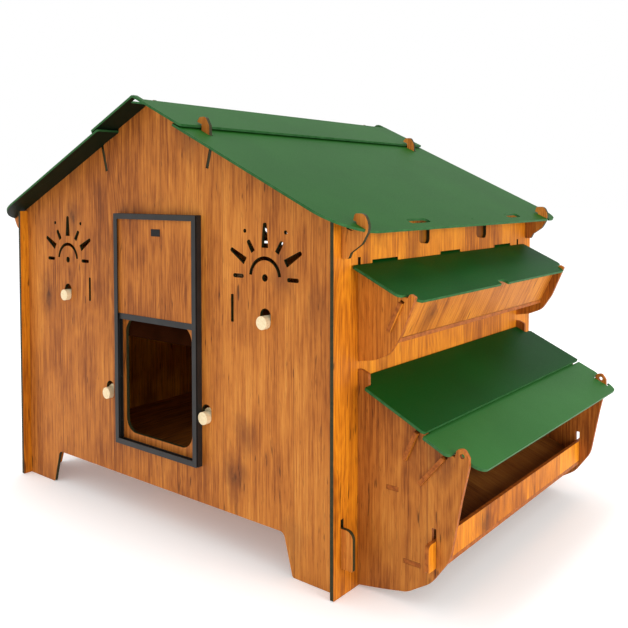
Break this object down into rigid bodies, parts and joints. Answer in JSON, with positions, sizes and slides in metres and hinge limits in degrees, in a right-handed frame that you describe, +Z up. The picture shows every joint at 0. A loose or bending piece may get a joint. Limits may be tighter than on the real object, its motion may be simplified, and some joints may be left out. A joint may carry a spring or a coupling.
{
  "type": "chicken coop",
  "caption": "Gabled flat-pack hen house of slotted laminate panels with sliding pop door, perches, feed box and egg box with lids.",
  "frame": {"origin": "on the ground under the middle of the hut, midway between the side walls and between the gables", "axes": "+X to the wall that carries the feed box and nest box, +Y to the rear gable, +Z up"},
  "size_m": [1.3035, 0.922, 0.9215],
  "materials": {
    "wood_print_laminate": "satin compact laminate printed with upright pine planks, dark olive edges",
    "green_laminate": "satin plain green compact laminate",
    "anthracite_aluminium": "satin anthracite powder coat on aluminium",
    "perch_wood": "smooth pale round wood",
    "screw_steel": "zinc plated",
    "sensor_plastic": "dark translucent window"
  },
  "bodies": {
    "hut": {"back_panel": "wood_print_laminate", "door_back_strip": "anthracite_aluminium", "door_peg_left": "perch_wood", "door_peg_right": "perch_wood", "door_rail_bottom": "anthracite_aluminium", "door_rail_left": "anthracite_aluminium", "door_rail_right": "anthracite_aluminium", "door_rail_top": "anthracite_aluminium", "door_screws": "screw_steel", "feed_floor": "wood_print_laminate", "feed_front_board": "wood_print_laminate", "feed_side_back": "wood_print_laminate", "feed_side_front": "wood_print_laminate", "floor_panel": "wood_print_laminate", "front_panel": "wood_print_laminate", "left_wall": "wood_print_laminate", "nest_baffle": "wood_print_laminate", "nest_batten": "wood_print_laminate", "nest_cross_board": "wood_print_laminate", "nest_floor": "wood_print_laminate", "nest_lip": "wood_print_laminate", "nest_roof_fixed": "green_laminate", "nest_side_back": "wood_print_laminate", "nest_side_front": "wood_print_laminate", "nest_slope": "wood_print_laminate", "purlin_left": "wood_print_laminate", "purlin_right": "wood_print_laminate", "ridge_board": "wood_print_laminate", "right_wall": "wood_print_laminate", "roof_left_lower": "green_laminate", "roof_left_upper": "green_laminate", "roof_right_lower": "green_laminate", "roof_right_upper": "green_laminate", "vent_board_left": "wood_print_laminate", "vent_board_right": "wood_print_laminate"},
    "pop_door": {"door_leaf": "wood_print_laminate", "door_leaf_rail": "anthracite_aluminium", "door_sensor": "sensor_plastic"},
    "feed_lid": {"feed_lid": "green_laminate"},
    "nest_lid": {"nest_lid": "green_laminate"},
    "perch_upper_left": {"perch_upper_left": "perch_wood"},
    "perch_upper_right": {"perch_upper_right": "perch_wood"}
  },
  "joints": [
    {"name": "pop_door_slide", "type": "slide", "parent": "hut", "child": "pop_door", "axis": [0, 0, -1], "range_m": [0, 0.262]},
    {"name": "feed_lid_hinge", "type": "hinge", "parent": "hut", "child": "feed_lid", "pos_m": [0.50248, 0, 0.58985], "axis": [0, -1, 0], "range_deg": [0, 68]},
    {"name": "nest_lid_hinge", "type": "hinge", "parent": "hut", "child": "nest_lid", "pos_m": [0.6453, 0, 0.30974], "axis": [0, -1, 0], "range_deg": [0, 80]},
    {"name": "perch_upper_left_draw", "type": "slide", "parent": "hut", "child": "perch_upper_left", "axis": [0, -1, 0], "range_m": [0, 0.6]},
    {"name": "perch_upper_right_draw", "type": "slide", "parent": "hut", "child": "perch_upper_right", "axis": [0, -1, 0], "range_m": [0, 0.6]}
  ]
}
